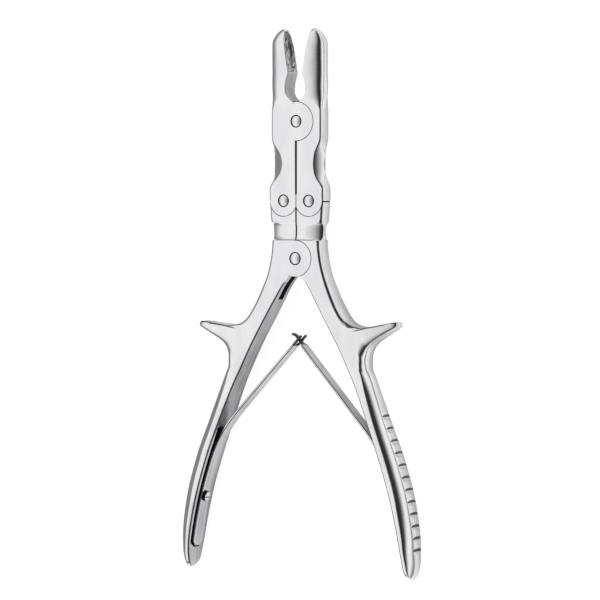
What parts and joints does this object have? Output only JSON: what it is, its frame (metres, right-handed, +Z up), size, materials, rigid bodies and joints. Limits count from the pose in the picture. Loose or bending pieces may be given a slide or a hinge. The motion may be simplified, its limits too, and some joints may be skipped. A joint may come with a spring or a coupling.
{
  "type": "bone rongeur",
  "caption": "Double-action bone rongeur: cupped jaws on a compound linkage, curved handles with thumb rests, held open by crossed leaf springs.",
  "frame": {"origin": "on the table under the middle of the instrument's overall box, with the instrument lying flat on its back, open", "axes": "+Y along the instrument's centre line from the handle ends to the jaw tips, +Z up out of the table along the pivot pins, +X to the right-hand handle"},
  "size_m": [0.114, 0.23, 0.0142],
  "materials": {
    "satin_steel": "satin-finished stainless steel",
    "polished_steel": "polished stainless steel",
    "spring_steel": "ground and polished spring steel"
  },
  "bodies": {
    "left_handle": {"left_handle": "satin_steel", "main_pin": "polished_steel", "left_spring_screw": "polished_steel"},
    "right_handle": {"right_handle": "satin_steel", "right_spring_screw": "polished_steel"},
    "left_jaw": {"left_jaw": "satin_steel", "jaw_pin": "polished_steel", "left_link_pin": "polished_steel"},
    "right_jaw": {"right_jaw": "satin_steel", "right_link_pin": "polished_steel"},
    "left_spring": {"left_spring": "spring_steel"},
    "right_spring": {"right_spring": "spring_steel"}
  },
  "joints": [
    {"name": "handle_squeeze", "type": "hinge", "parent": "left_handle", "child": "right_handle", "pos_m": [0, 0.0182, 0.0071], "axis": [0, 0, -1], "range_deg": [0, 25.2], "stiffness_Nm_per_rad": 1.6, "springref_deg": -11.46, "deforming": ["left_spring", "right_spring"]},
    {"name": "left_jaw_pivot", "type": "hinge", "parent": "left_handle", "child": "left_jaw", "pos_m": [-0.0061, 0.0425, 0.0071], "axis": [0, 0, -1], "range_deg": [0, 21.7]},
    {"name": "right_jaw_pivot", "type": "hinge", "parent": "right_handle", "child": "right_jaw", "pos_m": [0.0061, 0.0425, 0.0071], "axis": [0, 0, 1], "range_deg": [0, 21.7]},
    {"name": "left_leaf_flex", "type": "hinge", "parent": "left_handle", "child": "left_spring", "pos_m": [-0.0415, -0.0658, 0.0071], "axis": [0, 0, 1], "range_deg": [0, 7.4], "deforming": ["left_spring"]},
    {"name": "right_leaf_flex", "type": "hinge", "parent": "right_handle", "child": "right_spring", "pos_m": [0.0415, -0.0658, 0.0071], "axis": [0, 0, -1], "range_deg": [0, 7.4], "deforming": ["right_spring"]}
  ],
  "couplings": [
    {"joint": "left_jaw_pivot", "follows": "handle_squeeze", "ratio": 0.8563},
    {"joint": "right_jaw_pivot", "follows": "handle_squeeze", "ratio": 0.8563},
    {"joint": "left_leaf_flex", "follows": "handle_squeeze", "ratio": 0.2896},
    {"joint": "right_leaf_flex", "follows": "handle_squeeze", "ratio": 0.2896}
  ]
}
